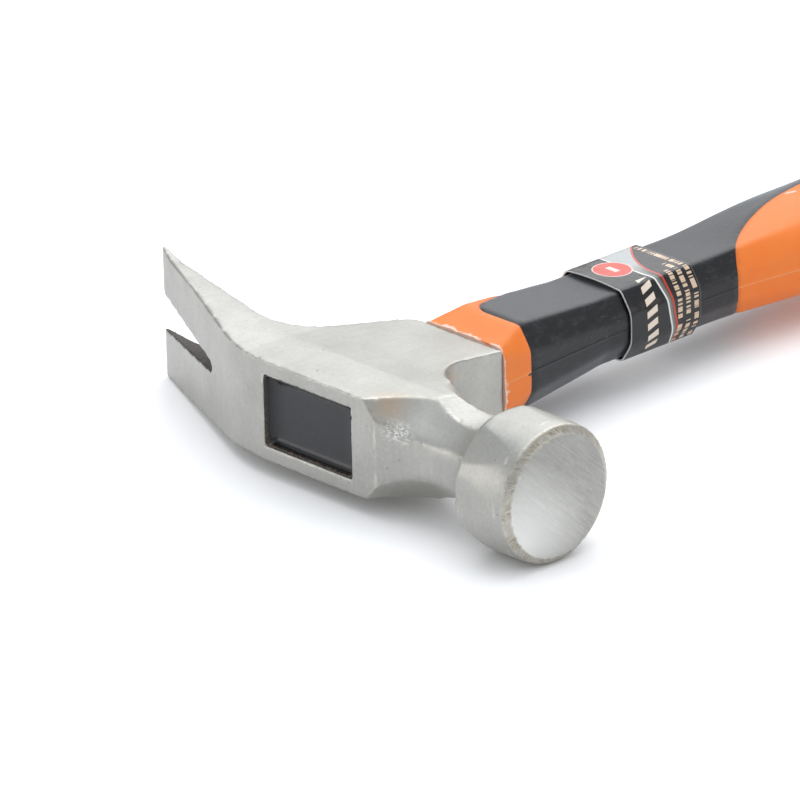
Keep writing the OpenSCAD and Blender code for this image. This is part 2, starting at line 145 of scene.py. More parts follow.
# name, place, aim, size, watts and colour
LAMPS = (
    ("behind", (-0.65, 1.05, 0.75), (0, -0.05, 0), (1.3, 0.8), 4.8, COOL),
    ("overhead", (-0.35, 0.3, 1.5), (0, -0.05, 0), (1.8, 1.8), 15, COOL),
    ("front", (-0.9, -1.1, 0.35), (0, -0.1, 0), (1.1, 0.6), 3.0, WARM),
    ("right", (1.3, 0.5, 0.45), (0, 0, 0), (1.0, 0.6), 1.8, WARM),
)
FLOOR_HALF = 6.0
CAMERA_PLACE = (1.200705, -1.24376, 0.68964)
CAMERA_YAW, CAMERA_PITCH, CAMERA_ROLL = (math.radians(a) for a in (-47.25, -22.54, -1.45))
CAMERA_LENS = 405


# Node trees and colours

def srgb(text):
    """Linear colour with alpha from an sRGB hex value."""
    parts = [int(text[i:i + 2], 16) / 255 for i in (1, 3, 5)]
    return [c / 12.92 if c <= 0.04045 else ((c + 0.055) / 1.055) ** 2.4 for c in parts] + [1.0]


def add(tree, kind, links=None, stops=(), **settings):
    """Adds a node with its settings and a ramp's stops, and sets or joins its inputs.
    A node given for an input is joined by its first live output."""
    n = tree.nodes.new("ShaderNode" + kind)
    for key, value in settings.items():
        setattr(n, key, value)
    for i, (place, colour) in enumerate(stops):
        item = n.color_ramp.elements[i] if i < 2 else n.color_ramp.elements.new(place)
        item.position = place
        item.color = colour if isinstance(colour, list) else [colour, colour, colour, 1]
    for key, value in (links or {}).items():
        if isinstance(value, bpy.types.Node):
            value = next(socket for socket in value.outputs if socket.enabled)
        if isinstance(value, bpy.types.NodeSocket):
            tree.links.new(value, n.inputs[key])
        else:
            n.inputs[key].default_value = value
    return n


def new_material(name):
    """A material with an empty node tree."""
    material = bpy.data.materials.new(name)
    material.use_nodes = True
    material.node_tree.nodes.clear()
    return material, material.node_tree


def surface(tree, **inputs):
    """Ends a material with one shader. An underscore stands for a space in a socket's name."""
    links = {key.replace("_", " "): value for key, value in inputs.items()}
    add(tree, "OutputMaterial", {"Surface": add(tree, "BsdfPrincipled", links)})


def object_mm(tree):
    """The point in this script's millimetres, so that a pattern's scale counts grains in one."""
    spot = add(tree, "TexCoord").outputs["Object"]
    return add(tree, "Mapping", {"Vector": spot, "Scale": (1 / MM,) * 3, "Location": -PLACE})


def point_marks(tree, *names):
    """The marks that a piece's mesh keeps on its points, one socket for each name."""
    return [add(tree, "Attribute", attribute_name=name).outputs["Fac"] for name in names]


def mottling(tree, point, scale, detail, roughness=0.55, spread=(1, 1, 1), turn=(0, 0, 0)):
    """An uneven pattern from 0 to 1, drawn out or turned on the piece."""
    drawn = add(tree, "Mapping", {"Vector": point, "Scale": spread, "Rotation": turn})
    return add(tree, "TexNoise", {
        "Vector": drawn, "Scale": scale, "Detail": detail, "Roughness": roughness})


def away(tree, point, place, reach, spread=(1, 1, 1)):
    """How far a point lies from a place, as a share of the reach."""
    drawn = add(tree, "Mapping", {"Vector": point, "Scale": spread})
    middle = Vector(place) * Vector(spread)
    length = add(tree, "VectorMath", {0: drawn, 1: middle}, operation="DISTANCE")
    return add(tree, "Math", {0: length, 1: reach}, operation="DIVIDE")


def worked(tree, value, *steps):
    """A value taken through steps of arithmetic, each an operation and what it is done with."""
    for operation, other in steps:
        value = add(tree, "Math", {0: value, 1: other}, operation=operation)
    return value


def between(tree, value, low, high, soft=0.12):
    """1 where a value lies between two limits, with soft edges inside them."""
    rise = add(tree, "MapRange", {"Value": value, "From Min": low, "From Max": low + soft})
    fall = add(tree, "MapRange", {"Value": value, "From Min": high, "From Max": high - soft})
    return worked(tree, rise, ("MULTIPLY", fall))


def coat(tree, base, colour, mask, *others):
    """Lays a colour over a base where all of its masks overlap."""
    cover = worked(tree, mask, *(("MULTIPLY", other) for other in others))
    top = srgb(colour) if isinstance(colour, str) else colour
    return add(tree, "Mix", {"Factor": cover, "A": base, "B": top}, data_type="RGBA")


def relief(tree, strength, depth, *layers):
    """A bump from layers. Each is a pattern and what multiplies it, depth in millimetres."""
    height = 0.0
    for pattern, *others in layers:
        layer = worked(tree, pattern, *(("MULTIPLY", other) for other in others))
        height = worked(tree, layer, ("ADD", height))
    return add(tree, "Bump", {"Height": height, "Strength": strength, "Distance": depth * MM})


# Materials

def bevel_strokes(tree, p):
    """Slanted strokes round the bevel of the striking face, 0.3 mm apart."""
    split = add(tree, "SeparateXYZ", {0: p}).outputs
    angle = add(tree, "Math", {0: split["Z"], 1: split["Y"]}, operation="ARCTAN2")
    lean = worked(tree, split["X"], ("MULTIPLY", 0.9))
    round_bevel = worked(tree, angle, ("MULTIPLY", BEVEL_RADIUS), ("ADD", lean))
    across = worked(tree, split["X"], ("MULTIPLY", 0.35))
    stroke = add(tree, "CombineXYZ", {0: round_bevel, 1: across})
    return mottling(tree, stroke, 3.0, 3, 0.6)


def forged_steel():
    """Forged carbon steel, belt ground and clear lacquered: pale grey with fine marks
    round the poll and across the crown, a soft sheen, bright worn arrises that also carry
    a painted highlight, and a few chips."""
    material, tree = new_material("forged_steel_belt_ground")
    p = object_mm(tree)
    arris, slot_wall, rim, face, tint = point_marks(
        tree, "arris", "slot_wall", "rim", "face", "tint")
    cloud = mottling(tree, p, 0.09, 3)
    fine = mottling(tree, p, 1.3, 4, 0.65)
    base = coat(tree, srgb("#AEADA7"), "#BCBBB5",
                add(tree, "ValToRGB", {0: cloud}, ((0.32, 0), (0.7, 1))))
    # belt marks, about 0.4 mm apart and 10 mm long
    marks = mottling(tree, p, 1.0, 4, 0.6, spread=(2.6, 0.10, 0.10))
    base = coat(tree, base, "#8F8F8D",
                add(tree, "ValToRGB", {0: marks}, ((0.35, 0), (0.75, 0.14))))
    # tiny pits and bright grains all over
    base = coat(tree, base, "#77746C",
                add(tree, "ValToRGB", {0: fine}, ((0.38, 0.10), (0.48, 0))))
    base = coat(tree, base, "#E8E8E4",
                add(tree, "ValToRGB", {0: fine}, ((0.58, 0), (0.68, 0.12))))
    # a few small dents
    dents = add(tree, "ValToRGB", {0: mottling(tree, p, 0.9, 2, 0.4)}, ((0.73, 0), (0.77, 0.6)))
    base = coat(tree, base, "#8A8780", dents)
    # brown heat tint left on the neck and at the skirt's root
    base = coat(tree, base, "#C9A47C", tint, 0.55)
    # cream bevel round the face, with brown lacquer in its slanted strokes
    slants = bevel_strokes(tree, p)
    strokes = add(tree, "ValToRGB", {0: slants}, ((0.40, 0), (0.62, 0.8)))
    stain = add(tree, "ValToRGB", {0: mottling(tree, p, 0.28, 2)}, ((0.35, 0.35), (0.6, 1)))
    base = coat(tree, base, "#CFCDC4", rim, 0.7)
    base = coat(tree, base, "#94805F", rim, strokes, stain)
    # worn bright line and small chips on the arrises, the bright line partly a painted
    # highlight; yellowed lacquer beside them
    arris_wear_and_highlight = worked(tree, mottling(tree, p, 0.8, 5, 0.75), ("ADD", 0.1), ("MULTIPLY", arris))
    chips = add(tree, "ValToRGB", {0: arris_wear_and_highlight}, ((0.42, 0), (0.62, 0.85)))
    worn = add(tree, "ValToRGB", {0: mottling(tree, p, 0.11, 2)}, ((0.40, 0.25), (0.58, 1)))
    base = coat(tree, base, "#ECECE8", chips, worn)
    beside = worked(tree, mottling(tree, p, 0.8, 3, 0.7), ("MULTIPLY", arris))
    base = coat(tree, base, "#A39A84",
                add(tree, "ValToRGB", {0: beside}, ((0.40, 0), (0.52, 0.5))))
    # a rubbed place with bright scratches where the neck's bevel runs out
    rub = add(tree, "ValToRGB", {0: away(tree, p, RUB, RUB_REACH, RUB_SPREAD)},
              ((0.1, 1), (0.7, 0)))
    lines = mottling(tree, p, 1.0, 4, 0.7, spread=(0.45, 3.4, 3.4), turn=(0.25, 0.1, 0.3))
    scratch = worked(tree, add(tree, "ValToRGB", {0: lines}, ((0.47, 0), (0.62, 1))),
                     ("MULTIPLY", rub))
    base = coat(tree, base, "#FFFFFC", scratch)
    # the nail slot's walls keep their dark, rough scale
    base = coat(tree, base, coat(tree, srgb("#3A3633"), "#8A857F", fine), slot_wall)
    # fine nearly parallel lines left by the grinding wheel on the striking face
    turned = add(tree, "Mapping", {"Vector": p, "Rotation": (WHEEL_TURN, 0, 0)})
    wheel = mottling(tree, turned, 1.0, 4, 0.62, spread=(0.2, 0.14, 2.3))
    base = coat(tree, base, "#8C8C88", face,
                add(tree, "ValToRGB", {0: wheel}, ((0.36, 0), (0.66, 0.5))))
    # painted highlight: the striking face paler towards one side
    painted_face_highlight = away(tree, p, PAINTED_FACE_HIGHLIGHT, PAINTED_FACE_HIGHLIGHT_REACH)
    base = coat(tree, base, "#F4F4F0", face,
                add(tree, "ValToRGB", {0: painted_face_highlight}, ((0.1, 0.9), (0.75, 0))))
    rougher = worked(tree, slot_wall, ("MULTIPLY", 0.4))
    bump = relief(
        tree, 0.5, 0.06, (marks, 0.35), (fine, 0.15), (slants, rim, 1.2), (wheel, face, 0.8),
        (fine, slot_wall, 6.0), (scratch, -1.5), (dents, -1.5))
    surface(tree, Base_Color=base, Metallic=0.86, Normal=bump,
            Roughness=worked(tree, marks, ("MULTIPLY", 0.16), ("ADD", 0.33), ("ADD", rougher)),
            Coat_Weight=0.2, Coat_Roughness=0.22)
    return material


def poured_resin():
    """Black epoxy poured into the eye: smooth, glossy, with dust and a few tiny bubbles,
    and brown crumbs along its lower edge."""
    material, tree = new_material("black_poured_epoxy")
    p = object_mm(tree)
    lip, edge = point_marks(tree, "lip", "edge")
    cloud = mottling(tree, p, 0.35, 3)
    dust = add(tree, "ValToRGB", {0: mottling(tree, p, 3.2, 2, 0.4)}, ((0.70, 0), (0.76, 1)))
    crumbs = add(tree, "ValToRGB", {0: mottling(tree, p, 1.5, 3, 0.6)}, ((0.46, 0), (0.58, 0.7)))
    base = coat(tree, srgb("#17171B"), "#232328", cloud)
    base = coat(tree, base, "#8C8C90", dust, 0.25)
    base = coat(tree, base, "#151314", lip)
    base = coat(tree, base, "#6B5138", edge, crumbs)
    surface(tree, Base_Color=base, Roughness=0.24, IOR=1.55,
            Normal=relief(tree, 0.35, 0.2, (cloud, 0.6), (dust, 0.6)))
    return material


def orange_jacket():
    """Injection moulded orange polypropylene: satin, even, with flow clouds, a raised
    parting line with a painted highlight, and a paler skin where it was squeezed
    against the steel."""
    material, tree = new_material("orange_moulded_polypropylene")
    p = object_mm(tree)
    joint, groove, seam_highlight = point_marks(tree, "joint", "groove", "seam_highlight")
    fine = mottling(tree, p, 2.2, 3)
    specks = mottling(tree, p, 2.0, 4, 0.7)
    squeezed = worked(tree, specks, ("MULTIPLY", 0.9), ("ADD", joint))
    pale = add(tree, "ValToRGB", {0: squeezed}, ((0.90, 0), (1.0, 0.85)))
    base = coat(tree, srgb("#FF7C28"), "#FF9140", mottling(tree, p, 0.12, 3))
    base = coat(tree, base, "#FBDCCB", pale)
    base = coat(tree, base, "#A5481D", groove, 0.35)
    # painted highlight along the raised parting line
    base = coat(tree, base, "#FFB37C", seam_highlight, 0.6)
    # painted shade for the tear's inside, which the mesh doesn't hollow, with a ragged edge
    ragged = worked(tree, mottling(tree, p, 2.0, 3), ("MULTIPLY", 0.6),
                    ("ADD", away(tree, p, TEAR, 1.0, TEAR_SHAPE)))
    base = coat(tree, base, "#2A1510",
                add(tree, "ValToRGB", {0: ragged}, ((0.85, 1), (1.0, 0))))
    surface(tree, Base_Color=base, Roughness=worked(tree, fine, ("MULTIPLY", 0.1), ("ADD", 0.36)),
            Specular_IOR_Level=0.35, Subsurface_Weight=0.04, Subsurface_Scale=1 * MM,
            Normal=relief(tree, 0.4, 0.15, (fine, 0.3), (specks, pale)))
    return material


def black_rubber():
    """Thermoplastic rubber from a spark eroded mould: dark grey, soft sheen, very fine
    grain, pale dust caught in it and light scuffs."""
    material, tree = new_material("black_moulded_rubber")
    p = object_mm(tree)
    # spark erosion grain is about 0.1 mm; it is drawn at 0.4 mm so that it shows
    fine = mottling(tree, p, 2.5, 4, 0.6)
    specks = mottling(tree, p, 1.6, 3, 0.5, spread=(1.6, 0.9, 1.6))
    dust = add(tree, "ValToRGB", {0: specks}, ((0.69, 0), (0.74, 1)))
    rubbed = mottling(tree, p, 1.0, 6, 0.75, spread=(0.8, 0.35, 0.8))
    scuffs = add(tree, "ValToRGB", {0: rubbed}, ((0.50, 0), (0.68, 0.45)))
    base = coat(tree, srgb("#111114"), "#18181B", mottling(tree, p, 0.1, 3))
    base = coat(tree, base, "#46464B", scuffs)
    base = coat(tree, base, "#8E8B88", dust, 0.35)
    base = coat(tree, base, "#141315", *point_marks(tree, "groove"), 0.7)
    rougher = worked(tree, scuffs, ("MULTIPLY", 0.2))
    surface(tree, Base_Color=base, IOR=1.45,
            Roughness=worked(tree, fine, ("MULTIPLY", 0.10), ("ADD", 0.27), ("ADD", rougher)),
            Sheen_Weight=1.0, Sheen_Roughness=0.3, Sheen_Tint=(0.86, 0.93, 1.0, 1.0),
            Normal=relief(tree, 0.35, 0.12, (fine,), (dust, 0.5)))
    return material


def print_arcs(tree, base, around, along):
    """The grey field between a white and a red arc, with a painted sheen: lighter beside
    the white arc, darker away from it and paler over the top flat. The arcs run nearly
    square across the side and sweep back over the broad top flat."""
    before = worked(tree, around, ("MULTIPLY", -1), ("ADD", 6.0), ("MAXIMUM", 0))
    after = worked(tree, around, ("SUBTRACT", 6.0), ("MAXIMUM", 0))
    sweep = worked(tree, before, ("MULTIPLY", before), ("MULTIPLY", 0.037))
    bulge = worked(tree, after, ("MULTIPLY", after), ("MULTIPLY", 0.009))
    drawn_in = add(tree, "MapRange", {
        "Value": around, "From Min": 5.0, "From Max": 13.0, "To Max": 0.85})
    start = worked(tree, along, ("SUBTRACT", 9.3), ("SUBTRACT", bulge), ("SUBTRACT", drawn_in))
    end = worked(tree, along, ("SUBTRACT", 11.1), ("SUBTRACT", bulge), ("SUBTRACT", sweep))
    # grey ink with a painted sheen, lighter beside the white arc and darker away from it
    print_grey_and_sheen = coat(tree, srgb("#8F918A"), "#33342F",
                 add(tree, "MapRange", {"Value": start, "From Max": 1.3}))
    # painted sheen: paler over the top flat
    paler = add(tree, "MapRange", {"Value": around, "From Min": 6.0, "From Max": 0.0})
    field = coat(tree, base, coat(tree, print_grey_and_sheen, "#B9BDBC", paler),
                 add(tree, "MapRange", {"Value": start, "From Max": 0.125}),
                 add(tree, "MapRange", {"Value": end, "From Max": -0.125}))
    field = coat(tree, field, "#F4F3EE", between(tree, start, -0.5, 0.05))
    return coat(tree, field, "#D8402A", between(tree, end, -0.1, 0.5))


def print_disc(tree, base, around, along):
    """The red disc with a pale ring, and a plain bar on it."""
    on_card = add(tree, "CombineXYZ", {0: around, 1: along})
    radius = add(tree, "VectorMath", {0: on_card, 1: (-1.1, 6.4, 0)}, operation="DISTANCE")
    base = coat(tree, base, "#F3D9D2", between(tree, radius, -1.0, 4.2))
    base = coat(tree, base, "#DD3F2E", between(tree, radius, -1.0, 3.95))
    return coat(tree, base, "#F6DCD2",
                between(tree, around, -2.7, 0.5), between(tree, along, 5.8, 7.3))


def print_bars(tree, base, around, along):
    """A row of plain slanted bars down the side, 2.6 mm apart."""
    curve = worked(tree, around, ("SUBTRACT", 15.0))
    middle = worked(tree, curve, ("MULTIPLY", curve), ("MULTIPLY", 0.014), ("ADD", 5.9))
    aside = worked(tree, along, ("SUBTRACT", middle))
    step = worked(tree, aside, ("MULTIPLY", 0.35), ("ADD", around), ("DIVIDE", 2.6), ("FRACT", 0))
    return coat(tree, base, "#F5E6D2", between(tree, step, 0.14, 0.74, 0.05),
                between(tree, aside, -1.5, 1.5), between(tree, around, 6.3, 23.5))


def print_dashes(tree, base, around, along):
    """Three rows of short dashes, 1.35 mm high, with uneven gaps."""
    line = add(tree, "CombineXYZ", {0: around})
    for first, begin in ((13.0, 6.6), (15.3, 3.8), (17.6, -6.5)):
        gaps = mottling(tree, line, 1.0, 0, spread=(0.6, 1, 1), turn=(0, 0, first))
        dashes = mottling(tree, line, 1.0, 0, spread=(2.3, 1, 1), turn=(0, 0, first / 3))
        base = coat(
            tree, base, "#E8CBAE", between(tree, along, first, first + 1.35),
            add(tree, "ValToRGB", {0: dashes}, ((0.40, 0), (0.48, 1))),
            between(tree, around, begin, 24.0),
            add(tree, "ValToRGB", {0: gaps}, ((0.33, 0), (0.35, 1))))
    return base


def printed_card():
    """Gloss varnished card, printed black with plain bars, arcs and a disc, and softly
    dented by handling. Its map runs round the band and along it."""
    material, tree = new_material("gloss_printed_card")
    spot = add(tree, "SeparateXYZ", {0: add(tree, "UVMap", uv_map="print")}).outputs
    around = worked(tree, spot["X"], ("SUBTRACT", 0.5), ("MULTIPLY", PRINT_UNIT))
    along = worked(tree, spot["Y"], ("MULTIPLY", PRINT_UNIT))
    base = srgb("#17171A")
    for print_part in (print_arcs, print_disc, print_bars, print_dashes):
        base = print_part(tree, base, around, along)
    # the card's bare cut edges
    base = coat(tree, base, "#F2F1ED", between(tree, along, -1.0, 0.06, 0.05))
    base = coat(tree, base, "#77777A",
                between(tree, along, BAND_LENGTH - 0.12, BAND_LENGTH + 1.0, 0.05))
    dents = mottling(tree, object_mm(tree), 0.16, 3)
    surface(tree, Base_Color=base, Roughness=0.22, IOR=1.5, Normal=relief(tree, 0.5, 0.6, (dents,)))
    return material


def fibre_rod():
    """Pultruded glass fibre rod: straw coloured, with lengthwise fibres. Hidden inside."""
    material, tree = new_material("pultruded_glass_fibre")
    fibres = mottling(tree, object_mm(tree), 1.0, 4, spread=(3, 0.03, 3))
    surface(tree, Base_Color=coat(tree, srgb("#CDBB82"), "#E4D8A8", fibres), Roughness=0.5)
    return material


# Meshes and pieces

def mesh_from(bm, name):
    mesh = bpy.data.meshes.new(name)
    bm.to_mesh(mesh)
    bm.free()
    return mesh


def in_scene(name, data):
    obj = bpy.data.objects.new(name, data)
    bpy.context.scene.collection.objects.link(obj)
    return obj


def finish_piece(mesh, name, material, body, nodes, sharp):
    """Turns a mesh into a piece that rides on a body and stands for its CAD nodes."""
    piece = in_scene(name, mesh)
    mesh.materials.clear()
    mesh.materials.append(material)
    mesh.shade_smooth()
    mesh.set_sharp_from_angle(angle=math.radians(sharp))
    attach(piece, body)
    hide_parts(*nodes)


def applied(obj):
    """The object's mesh with its modifiers applied, as a new mesh. The object goes."""
    graph = bpy.context.evaluated_depsgraph_get()
    mesh = bpy.data.meshes.new_from_object(obj.evaluated_get(graph))
    bpy.data.objects.remove(obj)
    return mesh


def merged_copy(node):
    """The CAD node's mesh with its doubles merged, as a bmesh in this script's millimetres."""
    bm = bmesh.new()
    bm.from_mesh(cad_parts[node].data)
    bmesh.ops.remove_doubles(bm, verts=bm.verts, dist=1e-6)
    for v in bm.verts:
        v.co = v.co / MM - PLACE
    return bm


def set_points(mesh, points):
    """Moves a mesh's points to new places, carried into the frame."""
    placed = ((point + PLACE) * MM for point in points)
    mesh.vertices.foreach_set("co", [number for point in placed for number in point])


def mark(mesh, marks):
    """Keeps named marks on the mesh's points, for its material to read."""
    for name, values in marks.items():
        layer = mesh.attributes.new(name, "FLOAT", "POINT")
        layer.data.foreach_set("value", values)


def point_tree(points):
    """A tree that finds the nearest of some points."""
    tree = kdtree.KDTree(len(points))
    for i, point in enumerate(points):
        tree.insert(point, i)
    tree.balance()
    return tree


def ring_edges(bm, ring):
    """The edges that close a ring of vertices, made where they are missing."""
    return [bm.edges.get(pair) or bm.edges.new(pair) for pair in zip(ring, ring[1:] + ring[:1])]


def extruded(bm, ring, edges, places):
    """Draws a ring out to new places, and gives the new ring and its edges."""
    made = bmesh.ops.extrude_edge_only(bm, edges=edges)["geom"]
    fresh = {g for g in made if isinstance(g, bmesh.types.BMVert)}
    edges = [g for g in made if isinstance(g, bmesh.types.BMEdge) and fresh.issuperset(g.verts)]
    ring = [next(e.other_vert(v) for e in v.link_edges if e.other_vert(v) in fresh) for v in ring]
    for v, place in zip(ring, places):
        v.co = place
    return ring, edges


# Head

def arris_points(solid):
    """Points every half millimetre along the solid's sharp convex edges."""
    points = []
    for e in solid.edges:
        if len(e.link_faces) == 2 and e.is_convex and e.calc_face_angle(0) > ARRIS_BEND:
            a, b = e.verts[0].co, e.verts[1].co
            steps = max(1, int((b - a).length / ARRIS_STEP))
            points += [a.lerp(b, i / steps) for i in range(steps + 1)]
    return points


def ground_round(solid):
    """The solid rounded all over, as a forging is by a grinding belt."""
    raw = in_scene("head_raw", mesh_from(solid, "head_raw"))
    remesh = raw.modifiers.new("round", "REMESH")
    remesh.mode = "VOXEL"
    remesh.voxel_size = VOXEL
    smooth = raw.modifiers.new("ground", "SMOOTH")
    smooth.factor = 0.5
    smooth.iterations = GROUND_PASSES
    return applied(raw)


def soften_neck(mesh):
    """Rubs down the creases between the neck's bevels and its flats, as hand grinding does."""
    bm = bmesh.new()
    bm.from_mesh(mesh)
    crease = []
    for v in bm.verts:
        x, y, z = v.co
        turn = math.degrees(math.atan2(abs(z), abs(y)))
        if NECK_START < x < NECK_END and CREASE_LOW < turn < CREASE_HIGH:
            crease.append(v)
    for _ in range(NECK_PASSES):
        bmesh.ops.smooth_vert(
            bm, verts=crease, factor=0.5, use_axis_x=False, use_axis_y=True, use_axis_z=True)
    bm.to_mesh(mesh)
    bm.free()


def on_slot_wall(c, n):
    """Whether a point with its normal lies on a side or at the end of the nail slot."""
    side = c.x < SLOT_X and abs(c.z) < SLOT_HALF and abs(n.z) > 0.55 and n.z * c.z < 0
    end = c.x < SLOT_X + 0.5 and abs(c.z) < SLOT_END_HALF and n.x < -0.5 and c.y > -1
    return side or end


def risen(value, start, run):
    return max(0.0, min(1.0, (value - start) / run))


def forged_head(material):
    """The head's solid, rounded all over as a ground forging is, with its marks."""
    solid = merged_copy("head")
    solid.normal_update()
    tree = point_tree(arris_points(solid))
    mesh = ground_round(solid)
    soften_neck(mesh)
    marks = {"arris": [], "slot_wall": [], "rim": [], "face": [], "tint": []}
    moved = []
    for c, n in [(v.co.copy(), v.normal.copy()) for v in mesh.vertices]:
        near = tree.find(c)[2]
        arris = math.exp(-((near + 0.35 * noise.noise(c * 0.7)) / ARRIS_REACH) ** 2)
        r = math.hypot(c.y, c.z)
        rim = risen(c.x, RIM_X, RIM_SOFT) * risen(r, RIM_RADIUS, RIM_SOFT)
        tint = sum(strength * math.exp(-((c - place).length / reach) ** 2)
                   for place, reach, strength in TINTS)
        marks["arris"].append(arris)
        marks["slot_wall"].append(1.0 if on_slot_wall(c, n) else 0.0)
        marks["rim"].append(rim)
        marks["face"].append(1.0 if c.x > FACE_X and r < FACE_RADIUS else 0.0)
        marks["tint"].append(tint)
        # grinding never leaves a forging quite flat, and its arrises carry small chips
        swell = noise.noise(c * 0.11) * SWELL
        chip = max(0.0, noise.noise(c * 0.9 + CHIP_SHIFT) - CHIP_START) * arris * CHIP_DEPTH
        moved.append(c + n * (min(0.0, swell - SWELL_SINK) - chip))
    set_points(mesh, moved)
    mark(mesh, marks)
    finish_piece(mesh, "forged_head", material, "hammer", ["head"], 60)


# Resin in the eye

def rounded_loop(bm, half_x, half_z, y, radius, mid_x, steps=6):
    """A closed ring of vertices round a rounded rectangle at depth y."""
    ring = []
    for sx, sz, start in ((1, 1, 0), (-1, 1, 90), (-1, -1, 180), (1, -1, 270)):
        for i in range(steps + 1):
            a = math.radians(start + 90 * i / steps)
            ring.append(bm.verts.new((
                mid_x + sx * (half_x - radius) + radius * math.cos(a), y,
                sz * (half_z - radius) + radius * math.sin(a))))
    return ring


def poured_eye(material):
    """The resin's hollow surface, its skin climbing the eye's walls to a ragged edge."""
    bm = bmesh.new()
    lip = bm.verts.layers.float.new("lip")
    edge = bm.verts.layers.float.new("edge")
    loops = []
    for inset, depth, _ in RESIN_PROFILE:
        half = EYE_HALF - EYE_TAPER * depth
        loops.append(rounded_loop(
            bm, half.x - inset, half.y - inset, CROWN_Y + depth,
            max(0.25, EYE_ROUND - inset * 0.2), depth * EYE_LEAN))
    for pair in zip(loops, loops[1:]):
        bmesh.ops.bridge_loops(bm, edges=[e for ring in pair for e in ring_edges(bm, ring)])
    bm.faces.new(loops[0])
    bm.faces.new(loops[-1])
    for loop, (inset, depth, ragged) in zip(loops, RESIN_PROFILE):
        for v in loop:
            v[edge] = 1.0 if depth < 0.5 and v.co.z < 0 else 0.0
            v[lip] = 1.0 if 0.05 < depth < 2.0 and inset < 1.0 else 0.0
            if depth < 2:
                v.co.y += (0.5 + noise.noise(v.co * 0.8)) * RAGGED * ragged
    bmesh.ops.recalc_face_normals(bm, faces=bm.faces)
    mesh = mesh_from(bm, "poured_eye_resin")
    set_points(mesh, [v.co.copy() for v in mesh.vertices])
    finish_piece(mesh, "poured_eye_resin", material, "hammer", ["eye_resin"], 60)


# Handle

def handle_section(y):
    """Half width, half thickness, middle, corner flat and roundness of the handle at y."""
    i = max(k for k in range(len(STATIONS) - 1) if y >= STATIONS[k][0] or k == 0)
    a, b = STATIONS[i], STATIONS[i + 1]
    t = (y - a[0]) / (b[0] - a[0])
    if i > LAST_STRAIGHT:
        t = (1 - math.cos(math.pi * t)) / 2
    width, thick, mid, flat, roundness = (a[k] + (b[k] - a[k]) * t for k in range(1, 6))
    return width / 2, thick / 2, mid, flat, roundness


def handle_radius(angle, y, inset, crease):
    """Distance from the handle's middle to its skin in one direction, creases softened."""
    w, h, _, flat, roundness = handle_section(y)
    w, h = w - inset, h - inset
    c, s = abs(math.cos(angle)), abs(math.sin(angle))
    fx, fz = flat, flat * FLAT_LEAN
    side = math.hypot(fx, fz)
    slant = (w * fz + (h - fz) * fx) / side
    corner = (c * fz + s * fx) / side / slant
    eight_sided = ((c / w) ** crease + (s / h) ** crease + corner ** crease) ** (-1 / crease)
    n = 2 / FULLNESS
    egg = ((c / w) ** n + (s / h) ** n) ** (-1 / n)
    return eight_sided + (egg - eight_sided) * roundness


def ring_angles():
    """Directions round a ring, with a few more beside the parting lines."""
    even = [math.radians(i * 360 / RING_SIDES) for i in range(RING_SIDES)]
    extra = [base + d for base in (0.0, math.pi) for d in (-SEAM_TURN, SEAM_TURN)]
    return sorted((a % (2 * math.pi)) for a in even + extra)


def ring_point(angle, y, inset):
    """A point of the handle's skin, with its parting line and its lip at the head."""
    r = handle_radius(angle, y, inset, HANDLE_CREASE)
    # the raised parting line left where the two halves of the mould met
    if inset == 0.0 and abs(math.sin(angle)) * r < SEAM_HALF:
        r += SEAM_HEIGHT
    # the lip of plastic squeezed out against the steel
    if y < SKIRT_Y + LIP and inset == 0.0:
        ragged = noise.noise(Vector((6 * math.cos(angle), y, 6 * math.sin(angle))))
        r += (0.1 + 0.3 * ragged) * (1 - (y - SKIRT_Y) / LIP)
    mid = handle_section(y)[2]
    return Vector((mid + r * math.cos(angle), y, r * math.sin(angle)))


def handle_skin():
    """The whole handle as one closed skin, drawn out ring by ring."""
    bm = bmesh.new()
    angles = ring_angles()
    round_start = BUTT_Y - BUTT_ROUND
    places = [SKIRT_Y + LIP * i / 4 for i in range(4)]
    count = int((round_start - SKIRT_Y - LIP) / RING_STEP)
    places += [SKIRT_Y + LIP + i * RING_STEP for i in range(count)]
    places = [(y, 0.0) for y in places + [round_start]]
    places += [(round_start + BUTT_ROUND * math.sin(a), BUTT_ROUND * (1 - math.cos(a)))
               for a in (math.radians(15 * k) for k in range(1, 7))]
    ring = [bm.verts.new(ring_point(a, SKIRT_Y, 0.0)) for a in angles]
    edges = ring_edges(bm, ring)
    bm.faces.new(ring)
    for y, inset in places[1:]:
        ring, edges = extruded(bm, ring, edges, [ring_point(a, y, inset) for a in angles])
    bm.faces.new(ring)
    bmesh.ops.recalc_face_normals(bm, faces=bm.faces)
    return bm


def arc(x, y, r, start, end, steps):
    angles = (math.radians(start + (end - start) * i / steps) for i in range(steps + 1))
    return [(x + r * math.cos(a), y + r * math.sin(a)) for a in angles]


def collar_outline():
    """The collar's and the spine's orange field, and the part of its border that shows."""
    edge = arc(COLLAR_X, COLLAR_END + COLLAR_ROUND, COLLAR_ROUND, -90, -175, 14)
    edge += COLLAR_EDGE
    far = [(-OUTSIDE, 20), (OUTSIDE, 20), (OUTSIDE, COLLAR_END)]
    return far + edge + [(-OUTSIDE, 90)], [(13, COLLAR_END)] + edge


